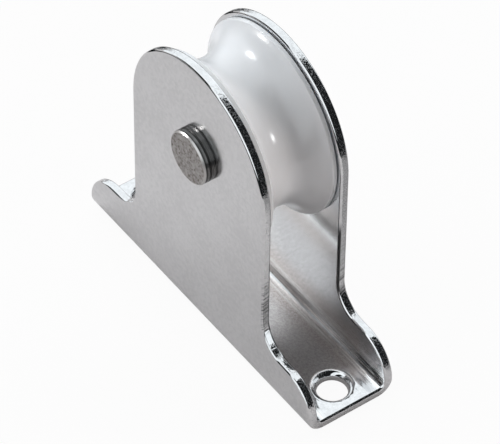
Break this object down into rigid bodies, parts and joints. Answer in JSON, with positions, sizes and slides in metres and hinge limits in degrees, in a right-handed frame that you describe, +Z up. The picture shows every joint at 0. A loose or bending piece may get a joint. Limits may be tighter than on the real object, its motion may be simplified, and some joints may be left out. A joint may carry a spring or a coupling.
{
  "type": "upright lead block",
  "caption": "Upright lead block: a grooved white sheave on a fixed axle pin between the cheeks of a folded stainless bracket with screw holes.",
  "frame": {"origin": "middle of the underside of the base, on the surface that the block is screwed to", "axes": "+X along the base towards one foot, +Y along the axle pin, +Z up from the base to the round heads of the cheeks"},
  "size_m": [0.0576, 0.0186, 0.052],
  "materials": {
    "polished_stainless": "satin faces, polished edges",
    "turned_stainless": "fine turned",
    "white_nylon": "smooth moulded gloss"
  },
  "bodies": {
    "block": {"bracket": "polished_stainless", "axle_pin": "turned_stainless"},
    "sheave": {"sheave": "white_nylon"}
  },
  "joints": [
    {"name": "sheave_spin", "type": "hinge", "parent": "block", "child": "sheave", "pos_m": [0, 0, 0.0355], "axis": [0, 1, 0], "continuous": true}
  ]
}
